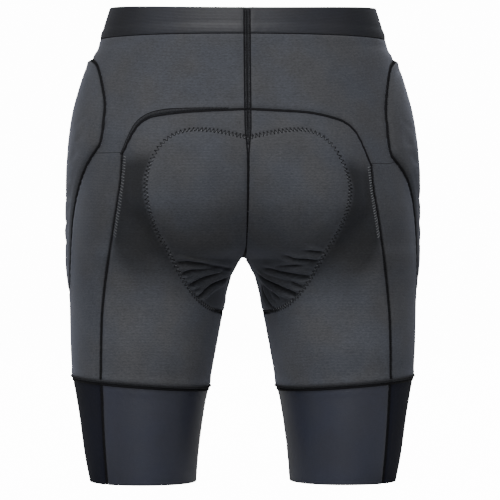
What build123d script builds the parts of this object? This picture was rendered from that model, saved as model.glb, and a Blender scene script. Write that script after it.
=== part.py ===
from build123d import *

import os
from math import copysign, cos, hypot, pi, sin

# Padded impact shorts, in the shape they have on a body. +Z is up and the wearer faces -Y, so the
# left leg is at +X. The hems stand on Z = 0, and the origin is between them, under the middle of
# the waist. The left half is built, and the right half is its mirror image.

# ---- Driving dimensions, mm ----
HEM = 7.5  # bottom edge of the cuffs; every height below is on the same scale, and the part is saved HEM lower
WAIST_TOP = 501.0  # top edge of the waistband at the sides
WAIST_DIP = 8.4  # the top edge is this much lower in the middle of the back and front
WAIST_SEAM = 466.8  # bottom edge of the waistband
CUFF_SEAM = 101.5  # height that the cuff seam would have at the middle of the body
CUFF_RISE = 0.075  # the cuff seam climbs this much per mm towards the outside of the leg

FABRIC = 1.5  # knitted panel
ELASTIC = 1.2  # waistband elastic
GRIPPER = 0.8  # silicone gripper band inside the hem
GRIPPER_WIDTH = 22.0
GAP = 0.3  # air between two layers
HIP_POCKET = 5.5  # the hip pad reaches this far inside the panels
LINING = 0.8  # mesh lining of the hip pad's pocket
HIP_GROOVES = (238.0, 276.0, 314.0, 352.0, 390.0)  # flex grooves across the hip pad
GROOVE = 3.0  # width of a groove
SEAT_FOAM = 8.0  # thickness of the seat pad's foam
FACING = 1.0  # brushed facing over the seat foam
SEAM_ALLOWANCE = 3.0

# The outline of the left half at each height: height, outer side, inner side, back, front.
# The inner side is past the middle above the crotch, where the two halves merge.
STATIONS = [
    (0.0, 159.0, 48.6, 74.0, 54.0),
    (36.0, 166.0, 45.8, 81.0, 60.0),
    (75.0, 171.3, 40.8, 88.5, 69.0),
    (118.0, 177.8, 33.4, 96.0, 79.0),
    (150.0, 180.0, 27.4, 99.6, 87.0),
    (175.0, 180.8, 22.6, 99.0, 92.0),
    (200.0, 181.2, 17.6, 98.4, 96.5),
    (222.0, 181.9, 11.9, 100.5, 100.5),
    (239.0, 182.2, 0.0, 105.5, 103.0),
    (256.0, 181.8, -26.0, 113.5, 104.8),
    (278.0, 180.2, -48.5, 123.5, 106.3),
    (300.0, 178.0, -66.0, 129.8, 107.2),
    (320.0, 176.4, -80.0, 131.0, 107.8),
    (345.0, 174.0, -96.0, 128.6, 108.0),
    (390.0, 168.5, -122.0, 119.5, 107.6),
    (430.0, 159.5, -140.0, 109.5, 106.0),
    (WAIST_SEAM, 149.5, -149.5, 102.5, 102.0),
    (WAIST_TOP, 138.4, -138.4, 98.5, 98.0),
]
SQUARENESS = 2.15  # 2 is an ellipse, and more is squarer
POINTS_ROUND = 20
EVENLY = [i / POINTS_ROUND for i in range(POINTS_ROUND + 1)]
LEVELS = 22  # outlines in each loft
OVERRUN = 4.0  # every body runs past the hem and the waist, so that both ends stay open

# How far the hip pad pushes its cover out sideways: height, distance.
BULGE = [(150.0, 2.0), (205.0, 3.2), (255.0, 3.8), (300.0, 6.8), (345.0, 9.0), (390.0, 9.5), (424.0, 8.5),
         (447.0, 6.0), (510.0, 4.0)]

# ---- Seam lines of the left half, as (X, Z) ----
YOKE_SEAM = [(0, 389.5), (55, 386.5), (85, 383.3), (98, 380.5), (108, 374.5), (115, 365), (121, 354), (126, 344)]
SIDE_BACK_SEAM = [(126, 344), (128, 317), (131, 298), (137.3, 256.4), (141, 232), (144.5, 204), (147, 172),
                  (147.6, 117), (146, 60), (142, 4), (141, -6)]
SIDE_FRONT_SEAM = [(104, 470), (112, 420), (118, 345), (124, 290), (132, 232), (137, 172), (138, 117), (137, 60),
                   (134, 4), (133, -6)]
HIP_SEAM = [(164, 451), (153.5, 440), (147.6, 429.3), (144.3, 414.8), (142.4, 396.6), (143.2, 380.7),
            (144.8, 364.9), (148, 346), (158.8, 328.2), (165.2, 316.7), (172.5, 299.3), (176.4, 279.6),
            (178.4, 254), (179.6, 230), (181, 206), (188, 196)]
POUCH_SEAM = [(50, 470), (49, 400), (42, 330), (27, 270), (0, 243)]
SEAT_PAD_EDGE = [(0, 360), (30, 366), (58, 367.5), (82, 357), (97, 333), (101, 307), (93, 270), (77, 241),
                 (55, 205), (36, 188), (8, 180)]
SEAT_FOAM_EDGE = [(11, 330), (26, 348), (50, 352), (72, 342), (84, 320), (86, 294), (78, 268), (62, 246),
                  (45, 236), (30, 248), (18, 272), (11, 300)]
SIDE_PANEL_TOP = 346.0
SIDE_LINE = -11.5  # the outlines' side line is this far in front of the middle of the depth
FAR = 400.0  # beyond every surface


def slope(at, k):
    """How fast column k of the stations changes with height at one station, or 0 at a turning point."""
    low, high = max(at, 1), min(at, len(STATIONS) - 2)
    before = (STATIONS[low][k] - STATIONS[low - 1][k]) / (STATIONS[low][0] - STATIONS[low - 1][0])
    after = (STATIONS[high + 1][k] - STATIONS[high][k]) / (STATIONS[high + 1][0] - STATIONS[high][0])
    return 2 * before * after / (before + after) if before * after > 0 else 0.0


def smooth_row(z):
    """The outline's row at height z, by a cubic through the stations that never overshoots."""
    i = max(k for k in range(len(STATIONS) - 1) if k == 0 or STATIONS[k][0] <= z)
    low, high = STATIONS[i], STATIONS[i + 1]
    step = high[0] - low[0]
    t = (z - low[0]) / step
    row = [z]
    for k in range(1, 5):
        if t < 0:
            row.append(low[k] + slope(i, k) * (z - low[0]))
        elif t > 1:
            row.append(high[k] + slope(i + 1, k) * (z - high[0]))
        else:
            row.append((1 + 2 * t) * (1 - t) ** 2 * low[k] + t * (1 - t) ** 2 * step * slope(i, k)
                       + t * t * (3 - 2 * t) * high[k] + t * t * (t - 1) * step * slope(i + 1, k))
    return row


def bulge_at(z):
    for (low, a), (high, b) in zip(BULGE, BULGE[1:]):
        if z <= high:
            return a + (b - a) * max(z - low, 0.0) / (high - low)
    return BULGE[-1][1]


def body(grow=0.0, bulge=0.0):
    """The solid left half of the wearer, grown outwards by grow, with the hip pushed out by bulge."""
    outlines = []
    for level in range(LEVELS):
        z = -OVERRUN + (WAIST_TOP + 2 * OVERRUN) * level / (LEVELS - 1)
        _, outer, inner, back, front = smooth_row(z)
        outer += grow + bulge * bulge_at(z)
        inner -= grow
        middle, half = (outer + inner) / 2, (outer - inner) / 2
        points = []
        for i in range(POINTS_ROUND):
            c, s = cos(2 * pi * i / POINTS_ROUND), sin(2 * pi * i / POINTS_ROUND)
            depth = (back if s > 0 else front) + grow
            points.append((middle + half * copysign(abs(c) ** (2 / SQUARENESS), c),
                           depth * copysign(abs(s) ** (2 / SQUARENESS), s), z))
        # The same parameters in every outline keep the lofted surface light.
        outlines.append(Wire([Edge.make_spline(points, periodic=True, parameters=EVENLY)]))
    return Solid.make_loft(outlines)


def xz(points):
    return [(x, 0, z) for x, z in points]


def region(lines, corners, low_y=-FAR, high_y=FAR):
    """The space between two depths, inside lines that are closed by straight corners in X and Z."""
    curves = [Spline(*xz(line)) for line in lines]
    curves.append(Polyline(*xz([lines[-1][-1], *corners, lines[0][0]])))
    face = Face(Wire([edge for curve in curves for edge in curve.edges()]))
    return Pos(0, low_y, 0) * extrude(face, amount=high_y - low_y, dir=(0, 1, 0))


def beside(line, shift, closed=False):
    """A seam line moved sideways, to its left as seen along its run from behind."""
    moved, last = [], len(line) - 1
    for i, (x, z) in enumerate(line):
        x0, z0 = line[i - 1] if i or closed else line[0]
        x1, z1 = line[(i + 1) % len(line)] if i < last or closed else line[last]
        run = hypot(x1 - x0, z1 - z0)
        moved.append((x - shift * (z1 - z0) / run, z + shift * (x1 - x0) / run))
    return moved


def slab(low, high, low_y=-FAR, high_y=FAR):
    """Everything on the left side between two heights and two depths."""
    return Pos(0, low_y, low) * Box(FAR, high_y - low_y, high - low, align=Align.MIN)


def hip_space(shift):
    """The space outside the hip seam, made smaller all round by shift."""
    line = beside(HIP_SEAM, shift)
    return region([line], [(FAR, line[-1][1]), (FAR, line[0][1])])


def lobe_space(shift, low_y):
    """The space behind low_y inside the outline of the seat foam, made larger all round by shift."""
    loop = Spline(*xz(beside(SEAT_FOAM_EDGE, shift, closed=True)), periodic=True)
    return Pos(0, low_y, 0) * extrude(Face(Wire([loop])), amount=FAR, dir=(0, 1, 0))


def largest(shape):
    return max(shape.solids(), key=lambda s: s.volume)


def mirrored(shape):
    return mirror(shape, about=Plane.YZ)


def save(name, shape):
    solid = largest(shape)
    print(name, round(solid.volume), "of", round(shape.volume), "valid", solid.is_valid)
    export_step(Pos(0, SIDE_LINE, -HEM) * solid, os.path.join("parts", f"{name}.step"))


def save_pair(name, shape):
    solid = largest(shape)
    save(f"{name}_left", solid)
    save(f"{name}_right", mirrored(solid))


def main():
    os.makedirs("parts", exist_ok=True)

    outside = body()
    inside = body(-FABRIC)

    # The left half of the waistband's rim is lower in the middle of the back and of the front.
    low_rim = WAIST_TOP - WAIST_DIP * 2.25
    dipped = Face(Wire([
        *ThreePointArc((0, -150, low_rim), (0, 0, WAIST_TOP), (0, 150, low_rim)).edges(),
        *Polyline((0, 150, low_rim), (0, 150, 0), (0, -150, 0), (0, -150, low_rim)).edges(),
    ]))
    standing = extrude(dipped, amount=FAR, dir=(1, 0, 0))
    above_cuff = region([[(0, CUFF_SEAM), (FAR / 2, CUFF_SEAM + CUFF_RISE * FAR / 2),
                          (FAR, CUFF_SEAM + CUFF_RISE * FAR)]], [(FAR, WAIST_SEAM), (0, WAIST_SEAM)])
    seat = region([YOKE_SEAM, SIDE_BACK_SEAM], [(0, -6)], 0)
    front = region([SIDE_FRONT_SEAM], [(0, -6), (0, 470)], -FAR, 0)
    pouch = region([POUCH_SEAM], [(0, 470)], -FAR, 0)
    hip = hip_space(0)

    shell = (outside - inside) & standing
    print("shell", round(shell.volume), len(shell.solids()))

    # Waistband: an outer fold of fabric with the elastic ring inside it.
    band = shell & slab(WAIST_SEAM, WAIST_TOP + 5)
    save("waistband", band + mirrored(band))
    elastic = (body(-FABRIC - GAP) - body(-FABRIC - GAP - ELASTIC)) & standing & slab(WAIST_SEAM + 3, WAIST_TOP - 12)
    save("waistband_elastic", elastic + mirrored(elastic))

    # Panels between the waistband and the cuffs.
    panels = shell & above_cuff
    flat = panels - hip
    save_pair("seat_panel", flat & seat)
    front_half = flat & front
    save_pair("front_panel", front_half - pouch)
    centre = front_half & pouch
    save("front_pouch", centre + mirrored(centre))
    sides = flat - seat - front
    save_pair("yoke", sides & slab(SIDE_PANEL_TOP, WAIST_SEAM))
    save_pair("side_panel", sides & slab(0, SIDE_PANEL_TOP))

    # Cuffs: three pieces round each leg, and a gripper band inside the hem.
    cuff = (shell & slab(HEM, 200)) - above_cuff
    save_pair("cuff_back", cuff & seat)
    save_pair("cuff_front", cuff & front)
    save_pair("cuff_side", cuff - seat - front)
    hem = slab(HEM + 1.5, HEM + 1.5 + GRIPPER_WIDTH)
    save_pair("gripper", (body(-FABRIC - GAP) - body(-FABRIC - GAP - GRIPPER)) & hem)

    # Hip pads: the cover is a lid whose turned-in edge meets the hip seam, and the lining is a tray.
    bulged = body(bulge=1)
    lid = (bulged - inside) & hip
    hollow = hip_space(SEAM_ALLOWANCE)
    save_pair("hip_cover", lid - (body(-FABRIC, bulge=1) & hollow))
    floor = body(-HIP_POCKET)
    foam = (body(-FABRIC - GAP, bulge=1) - floor) & hip_space(SEAM_ALLOWANCE + 0.5)
    for z in HIP_GROOVES:
        foam = foam - ((slab(z, z + GROOVE) & hip) - outside)
    save_pair("hip_pad", foam)
    under = body(-FABRIC - GAP)
    tray = (under - body(-HIP_POCKET - GAP - LINING)) & hip_space(-SEAM_ALLOWANCE)
    well = (outside - body(-HIP_POCKET - GAP)) & hollow
    save_pair("hip_pocket_lining", tray - well)

    # Seat pad: a facing that is sewn through the seat panel, with a foam lobe in each half.
    pad = region([SEAT_PAD_EDGE], [(0, 180)], -40)
    lobe = lobe_space(0, 20)
    wall = lobe_space(1.5, 18.5)
    flange = (under - body(-FABRIC - GAP - FACING)) & pad
    raised = (under - body(-FABRIC - 2 * GAP - SEAT_FOAM - FACING)) & wall
    facing = (flange + raised) - ((outside - body(-FABRIC - 2 * GAP - SEAT_FOAM)) & lobe)
    save("seat_pad_facing", facing + mirrored(facing))
    save_pair("seat_foam", (under - body(-FABRIC - GAP - SEAT_FOAM)) & lobe_space(-0.5, 20.5))

    # A second layer behind the pouch, and a blank label inside the back of the waist.
    lining = (under - body(-FABRIC - GAP - FACING)) & region([POUCH_SEAM], [(0, 470)], -FAR, -60)
    lining = lining & slab(250, WAIST_SEAM - 6)
    save("pouch_lining", lining + mirrored(lining))
    label = (under - body(-FABRIC - GAP - 0.5)) & slab(425, 463, 60) & (Pos(0, 0, 444) * Box(30, FAR, 60))
    save("care_label", label + mirrored(label))


main()
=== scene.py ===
import math

import bpy
import numpy as np
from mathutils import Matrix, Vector


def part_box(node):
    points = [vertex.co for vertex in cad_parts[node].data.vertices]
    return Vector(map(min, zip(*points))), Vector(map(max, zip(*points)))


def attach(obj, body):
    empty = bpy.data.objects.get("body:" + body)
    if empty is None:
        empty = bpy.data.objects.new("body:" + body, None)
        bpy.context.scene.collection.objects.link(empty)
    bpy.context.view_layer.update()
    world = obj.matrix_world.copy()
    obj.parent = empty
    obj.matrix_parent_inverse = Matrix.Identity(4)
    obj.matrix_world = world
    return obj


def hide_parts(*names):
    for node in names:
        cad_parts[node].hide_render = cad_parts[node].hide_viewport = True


# Padded impact shorts. Lengths inside this script are in millimetres until a mesh is made.
# Every panel lies on one surface, addressed by (s, z): z is the height, and s is the distance
# round the leg from the outer side, positive towards the back and negative towards the front.
# w is s as a share of that distance, so -1 and 1 are the inner side, from the front and the back.
# A side of 1 is the wearer's left half, and a side of -1 the right half, its mirror image.

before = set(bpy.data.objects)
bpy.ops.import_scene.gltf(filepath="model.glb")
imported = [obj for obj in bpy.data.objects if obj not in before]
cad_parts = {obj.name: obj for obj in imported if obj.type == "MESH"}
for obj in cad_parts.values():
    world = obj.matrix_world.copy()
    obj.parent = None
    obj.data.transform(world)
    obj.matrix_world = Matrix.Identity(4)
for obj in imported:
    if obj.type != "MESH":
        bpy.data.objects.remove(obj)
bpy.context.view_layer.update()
MM = 0.001


def node_box(node):
    low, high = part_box(node)
    return np.array(low) / MM, np.array(high) / MM


HEM = 7.5  # heights in this script are on the body's scale, where the hems are at this height
WAIST_SEAM = node_box("waistband")[0][2] + HEM
WAIST_TOP = node_box("waistband")[1][2] + HEM
SIDE_LINE = node_box("seat_panel_left")[0][1]  # the seat panels start at the inseam, on the side line
RIM_DROP, WAIST_DIP = 2.0, 5.6  # how far the rim is under the box's top, and how far it dips at y = 100
CUFF_SEAM, CUFF_RISE = 101.5, 0.075  # the cuffs' seam, and its rise for each mm outwards
SIDE_PANEL_TOP = 346.0
THICK = 1.2  # of the cloth
FAR = 900.0  # beyond any part of the surface
FIRST_ROW, END_ROW = -8.0, WAIST_TOP + 9.0  # the surface goes on a little beyond the hems and the rim

# height, outer side, inner side, back, front: the body that the shorts are shaped to
STATIONS = np.array([
    (0, 159, 48.6, 74, 54),
    (36, 166, 45.8, 81, 60),
    (75, 171.3, 40.8, 88.5, 69),
    (118, 177.8, 33.4, 96, 79),
    (150, 180, 27.4, 99.6, 87),
    (175, 180.8, 22.6, 99, 92),
    (200, 181.2, 17.6, 98.4, 96.5),
    (222, 181.9, 11.9, 100.5, 100.5),
    (231, 182.1, 10.4, 102.8, 101.9),
    (239, 182.2, 8.4, 105.5, 103),
    (243, 182.1, 5.6, 107.1, 103.5),
    (246, 182.1, 0, 108.4, 103.9),
    (256, 181.8, -24, 113.5, 104.8),
    (278, 180.2, -48.5, 123.5, 106.3),
    (300, 178, -66, 129.8, 107.2),
    (320, 176.4, -80, 131, 107.8),
    (345, 174, -96, 128.6, 108),
    (390, 168.5, -122, 119.5, 107.6),
    (430, 159.5, -140, 109.5, 106),
    (466.8, 149.5, -149.5, 102.5, 102),
    (501, 138.4, -138.4, 98.5, 98),
])
POWER = 2 / 2.15  # of the superellipse that each half of a row follows
# height, and how far the hip pads stand out there
BULGE = np.array([(150, 1.6), (205, 2), (255, 3), (300, 6.1), (331, 8.3), (357, 8.9), (390, 8.1),
                  (409, 7.2), (430, 6.4), (447, 6.2), (510, 5)])

# Seam lines seen from behind, as (x, z). They are the CAD model's, moved a few mm where the photograph asks.
YOKE_SEAM = [(0, 389.5), (55, 386.5), (85, 383.3), (98, 380.5), (108, 374.5), (115, 365), (121, 354),
             (126, 344)]
SIDE_BACK_SEAM = [(126, 344), (128, 317), (131, 298), (137.3, 256.4), (141, 232), (144.5, 204), (147, 172),
                  (147.6, 117), (146, 60), (142, 4), (141, -6)]
SIDE_FRONT_SEAM = [(104, 470), (112, 420), (118, 345), (124, 290), (132, 232), (137, 172), (138, 117),
                   (137, 60), (134, 4), (133, -6)]
HIP_SEAM = [(164, 456), (156, 446.5), (149.5, 435), (145.5, 418), (142.4, 396.6), (143.2, 380.7),
            (144.8, 364.9), (147.5, 354), (154.5, 344), (160, 335), (164, 327), (168, 317), (173, 299.3),
            (176.4, 279.6), (178.4, 254), (179.6, 230), (181, 206), (188, 196)]
POUCH_SEAM = [(50, 470), (49, 400), (42, 330), (27, 272), (0, 249.5)]
SEAT_PAD_EDGE = [(0, 360), (30, 366), (58, 367.5), (82, 357), (97, 333), (101, 307), (93, 270), (77, 241),
                 (55, 205), (36, 188), (8, 180)]
SEAT_FOAM_EDGE = [(11, 330), (26, 348), (50, 352), (72, 342), (84, 320), (86, 294), (78, 268), (62, 246),
                  (45, 236), (30, 248), (18, 272), (11, 300)]
BUTTOCK_EDGE = [(96, 400), (112, 372), (119, 335), (120, 306), (113, 289), (98, 277), (82, 261), (67, 243),
                (47, 229), (28, 223), (4, 226)]


# ---------------------------------------------------------------- the surface

def smooth_stations(z):
    """The stations' four columns at heights z, by a cubic that never overshoots."""
    h, v = STATIONS[:, 0], STATIONS[:, 1:]
    d = np.diff(v, axis=0) / np.diff(h)[:, None]
    m = np.zeros_like(v)
    both = d[:-1] * d[1:]
    m[1:-1] = np.where(both > 0, 2 * both / np.where(both > 0, d[:-1] + d[1:], 1), 0)
    m[0], m[-1] = d[0], d[-1]
    i = np.clip(np.searchsorted(h, z, side="right") - 1, 0, len(h) - 2)
    step = (h[i + 1] - h[i])[:, None]
    t = np.clip((z - h[i])[:, None] / step, 0, 1)
    out = ((1 + 2 * t) * (1 - t) ** 2 * v[i] + t * (1 - t) ** 2 * step * m[i]
           + t * t * (3 - 2 * t) * v[i + 1] + t * t * (t - 1) * step * m[i + 1])
    beyond = np.where(z < h[0], z - h[0], np.where(z > h[-1], z - h[-1], 0))[:, None]
    return out + beyond * np.where(z[:, None] < h[0], m[0], m[-1])


ROWS = np.arange(FIRST_ROW, END_ROW, 1.0)
COLS = 181  # samples from the outer side round the back to the inner side, and as many round the front
ARC_STEPS = 1201


def run_of(line):
    """How far along a line each of its points is."""
    return np.concatenate([[0], np.cumsum(np.linalg.norm(np.diff(line, axis=0), axis=1))])


def evenly(line, pieces):
    """A line cut into pieces of one length."""
    along = run_of(line)
    want = np.linspace(0, along[-1], pieces + 1)
    return np.stack([np.interp(want, along, line[:, k]) for k in range(line.shape[1])], -1)


def make_surface():
    """The surface's points and outward directions over ROWS and from w = -1 to 1, and for each row how far s
    runs at the front and at the back, and how far along each of the two the middle plane is."""
    theta = np.linspace(0, math.pi, ARC_STEPS)
    c, s = np.cos(theta), np.sin(theta)
    cc, ss = np.sign(c) * np.abs(c) ** POWER, np.abs(s) ** POWER
    points, lengths = [], []
    for outer, inner, back, front in smooth_stations(ROWS):
        x = (outer + inner) / 2 + (outer - inner) / 2 * cc
        halves, row_lengths, row_middles = [], [], []
        for depth in (-front, back):
            arc = np.stack([x, depth * ss], -1)
            along = run_of(arc)
            halves.append(evenly(arc, COLS - 1))
            row_lengths.append(along[-1])
            row_middles.append(np.interp(0.0, -x, along))
        points.append(np.concatenate([halves[0][::-1], halves[1][1:]]))
        lengths.append(row_lengths + row_middles)
    xy = np.array(points)
    grid = np.concatenate([xy, np.broadcast_to(ROWS[:, None, None], (*xy.shape[:2], 1))], -1)
    across, up = np.gradient(grid, axis=1), np.gradient(grid, axis=0)
    # The loop closes on itself at the inner side.
    across[:, 0] = across[:, -1] = grid[:, 1] - grid[:, -2]
    normal = np.cross(across, up)
    normal *= np.sign(normal[:, COLS - 1:COLS, :1])
    normal /= np.linalg.norm(normal, axis=-1, keepdims=True)
    return grid, normal, np.array(lengths)


GRID, NORMAL, LENGTHS = make_surface()


def between(table, r, c):
    """The values of a table (rows, columns, channels) at rows and columns that needn't be whole numbers."""
    r, c = (np.clip(where, 0, size - 1.001) for where, size in zip((r, c), table.shape))
    r0, c0 = r.astype(int), c.astype(int)
    fr, fc = (r - r0)[:, None], (c - c0)[:, None]
    return ((1 - fr) * ((1 - fc) * table[r0, c0] + fc * table[r0, c0 + 1])
            + fr * ((1 - fc) * table[r0 + 1, c0] + fc * table[r0 + 1, c0 + 1]))


def sample(table, w, z):
    """The values at (w, z) of a table that covers the surface as GRID does."""
    return between(table, z - ROWS[0], (w + 1) * (COLS - 1))


def reach(z, back):
    """How far s runs at height z."""
    return np.interp(z, ROWS, LENGTHS[:, 1 if back else 0])


def s_of(w, z):
    return np.where(w > 0, w * reach(z, True), w * reach(z, False))


def w_of(s, z):
    return np.clip(np.where(s > 0, s / reach(z, True), s / reach(z, False)), -1, 1)


LINE_STEP = 3.0
SPLINE_STEPS = 24  # between two points of a line
CHUNK = 16384  # points worked on together


def curve(points, step):
    """A smooth line through points, sampled about every step."""
    p = np.array(points, float)
    p = np.concatenate([[2 * p[0] - p[1]], p, [2 * p[-1] - p[-2]]])
    out = []
    for i in range(1, len(p) - 2):
        a, b, c, d = p[i - 1:i + 3]
        t = np.linspace(0, 1, SPLINE_STEPS, endpoint=False)[:, None]
        out.append(0.5 * (2 * b + (c - a) * t + (2 * a - 5 * b + 4 * c - d) * t ** 2
                          + (3 * b - a - 3 * c + d) * t ** 3))
    out = np.concatenate([*out, p[-2:-1]])
    return evenly(out, max(int(run_of(out)[-1] / step), 2))


def on_side(points, back, step=LINE_STEP):
    """An (x, z) seam line as (s, z)."""
    line = curve(points, step)
    s = []
    for x, z in line:
        r = int(np.clip(round(z - ROWS[0]), 0, len(ROWS) - 1))
        xs = GRID[r, COLS - 1:, 0] if back else GRID[r, COLS - 1::-1, 0]
        total = LENGTHS[r, 1 if back else 0]
        s.append(np.interp(-x, -xs, np.linspace(0, total, COLS)) * (1 if back else -1))
    return np.stack([s, line[:, 1]], -1)


def nearest(line, s, z):
    """Distance from every (s, z) to a polyline, and how far along it the nearest point is."""
    a, b = line[:-1], line[1:]
    ab = b - a
    size = (ab ** 2).sum(1) + 1e-9
    starts = np.concatenate([[0], np.cumsum(np.sqrt(size))])[:-1]
    away, along = np.empty(len(s)), np.empty(len(s))
    for k in range(0, len(s), CHUNK):
        part = slice(k, k + CHUNK)
        p = np.stack([s[part], z[part]], -1)[:, None]
        t = np.clip(((p - a) * ab).sum(-1) / size, 0, 1)
        d = np.sqrt((((a + t[..., None] * ab) - p) ** 2).sum(-1))
        best = d.argmin(1)
        pick = np.arange(len(d))
        away[part] = d[pick, best]
        along[part] = starts[best] + t[pick, best] * np.sqrt(size[best])
    return away, along


def from_line(line, s, z):
    return nearest(line, s, z)[0]


def inside(loop, s, z):
    """Whether each (s, z) is inside a closed loop."""
    a, b = loop, np.roll(loop, -1, 0)
    out = np.zeros(len(s), bool)
    for k in range(0, len(s), CHUNK):
        ps, pz = s[k:k + CHUNK, None], z[k:k + CHUNK, None]
        cross = (a[:, 1] > pz) != (b[:, 1] > pz)
        dz = np.where(b[:, 1] == a[:, 1], 1e-9, b[:, 1] - a[:, 1])
        left = ps < a[:, 0] + (pz - a[:, 1]) / dz * (b[:, 0] - a[:, 0])
        out[k:k + CHUNK] = (cross & left).sum(1) % 2 == 1
    return out


YOKE_S = on_side(YOKE_SEAM, True)
BACK_S = on_side(SIDE_BACK_SEAM, True)
FRONT_S = on_side(SIDE_FRONT_SEAM, False)
POUCH_S = on_side(POUCH_SEAM, False)
PAD_S = on_side(SEAT_PAD_EDGE, True)
FOAM_S = on_side(SEAT_FOAM_EDGE + SEAT_FOAM_EDGE[:1], True)
BUTTOCK_S = on_side(BUTTOCK_EDGE, True)
HIP_B, HIP_F = on_side(HIP_SEAM, True), on_side(HIP_SEAM, False)
HIP_B, HIP_F = HIP_B[HIP_B[:, 0] > 0.5], HIP_F[HIP_F[:, 0] < -0.5]
HIP_LOOP = np.concatenate([HIP_B, HIP_F[::-1]])
CROTCH_HEIGHTS = np.arange(200.0, 280.0, 0.25)
CROTCH = float(np.interp(0.0, -smooth_stations(CROTCH_HEIGHTS)[:, 1], CROTCH_HEIGHTS))
CROTCH_CURVE = 30  # the last part of the centre seams, where they turn under the body


def centre_seam(back, top):
    """The middle of the body, from the top to the crotch, as (s, z)."""
    upper = np.linspace(top, CROTCH + CROTCH_CURVE, 90)
    z = np.concatenate([upper, CROTCH + CROTCH_CURVE * np.linspace(1, 0, 60)[1:] ** 2])
    s = np.interp(z, ROWS, LENGTHS[:, 3 if back else 2]) * (1 if back else -1)
    s[-1] = reach(CROTCH, back) * (1 if back else -1)
    return np.stack([s, z], -1)


def inseam(back):
    z = np.arange(-6.0, CROTCH, LINE_STEP)
    return np.stack([reach(z, back) * (1 if back else -1), z], -1)


# Each seam line closed by corners beyond the surface, round what it bounds
LOW, OVER, HIGH = -90, 520, 600
SEAT_LOOP = np.concatenate([YOKE_S, BACK_S, [(BACK_S[-1, 0], LOW), (FAR, LOW), (FAR, YOKE_S[0, 1])]])
FRONT_CORNERS = [(FRONT_S[-1, 0], LOW), (-FAR, LOW), (-FAR, HIGH), (FRONT_S[0, 0], HIGH)]
FRONT_LOOP = np.concatenate([FRONT_S, FRONT_CORNERS])
POUCH_LOOP = np.concatenate([[(POUCH_S[0, 0], HIGH)], POUCH_S, [(-FAR, POUCH_S[-1, 1]), (-FAR, HIGH)]])
PAD_LOOP = np.concatenate([PAD_S, [(FAR, PAD_S[-1, 1]), (FAR, PAD_S[0, 1])]])
HIP_CLOSED = np.concatenate([HIP_LOOP, HIP_LOOP[:1]])
BUTTOCK_LOOP = np.concatenate([BUTTOCK_S, [(FAR, BUTTOCK_S[-1, 1]), (FAR, OVER), (BUTTOCK_S[0, 0], OVER)]])


def signed(line, loop, s, z):
    """Distance to the seam line, positive inside the loop that it bounds."""
    return np.where(inside(loop, s, z), 1, -1) * from_line(line, s, z)


def make_fields():
    """The seam distances over the whole surface, as (rows, columns, channels) like GRID."""
    w, z = np.meshgrid(np.linspace(-1, 1, FIELD_COLS), FIELD_ROWS)
    shape, w, z = w.shape, w.ravel(), z.ravel()
    s = s_of(w, z)
    back, front = s >= 0, s <= 0
    seat, face, pouch, pad, foam, buttock = (np.full(len(s), -FAR) for _ in range(6))
    hip = signed(HIP_CLOSED, HIP_LOOP, s, z)
    seat[back] = signed(np.concatenate([YOKE_S, BACK_S]), SEAT_LOOP, s[back], z[back])
    pad[back] = signed(PAD_S, PAD_LOOP, s[back], z[back])
    foam[back] = signed(FOAM_S, FOAM_S[:-1], s[back], z[back])
    buttock[back] = signed(BUTTOCK_S, BUTTOCK_LOOP, s[back], z[back])
    face[front] = signed(FRONT_S, FRONT_LOOP, s[front], z[front])
    pouch[front] = signed(POUCH_S, POUCH_LOOP, s[front], z[front])
    side = np.where(s > 0, -seat, -face)
    # Away from their own half these only need to stay negative, and to change slowly.
    seat, pad, foam, buttock = (np.where(back, field, ELSEWHERE) for field in (seat, pad, foam, buttock))
    face, pouch = (np.where(front, field, ELSEWHERE) for field in (face, pouch))
    behind, ahead = (from_line(centre_seam(half, OVER), s, z) for half in (True, False))
    middle = np.where(back, behind, ahead)
    inner = np.minimum(*(from_line(inseam(half), s, z) for half in (True, False)))
    return np.stack([hip, seat, face, pouch, pad, side, middle, inner, foam, buttock], -1).reshape(*shape, 10)


FIELD_STEP = 1.5
FIELD_ROWS = np.arange(FIRST_ROW, END_ROW, FIELD_STEP)
FIELD_COLS = 281
ELSEWHERE = -60
FIELDS = make_fields()


def look_up(w, z):
    return between(FIELDS, (z - FIELD_ROWS[0]) / FIELD_STEP, (w + 1) * (FIELD_COLS - 1) / 2)


class Fields:
    """Distances to every seam, at (w, z)."""

    def __init__(self, w, z):
        self.w, self.z, self.s = w, z, s_of(w, z)
        self.p = sample(GRID, w, z)
        self.x, self.y = self.p[:, 0], self.p[:, 1]
        (self.hip, self.seat, self.front, self.pouch, self.pad, self.side, self.middle, self.inner, self.foam,
         self.buttock) = look_up(w, z).T
        self.cuff = CUFF_SEAM + CUFF_RISE * self.x - z  # positive in the cuff
        self.band = z - WAIST_SEAM
        self.rim = WAIST_TOP - RIM_DROP - WAIST_DIP * (self.y / 100) ** 2 - z  # positive under the rim


def bump(d, width):
    """A rounded hill, 1 high at 0."""
    return np.exp(-(d / width) ** 2)


def ramp(d, length):
    """A smooth step from 0, at 0, to 1, at length."""
    t = np.clip(d / length, 0, 1)
    return t * t * (3 - 2 * t)


def wander(a, b, seed, scale):
    """Smooth noise from -1 to 1 over two coordinates."""
    rng = np.random.default_rng(seed)
    total = np.zeros(np.shape(a))
    for _ in range(10):
        k = rng.normal(size=2) / scale
        total += np.sin(a * k[0] + b * k[1] + rng.uniform(0, 6.28))
    return total / 4.5


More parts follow.
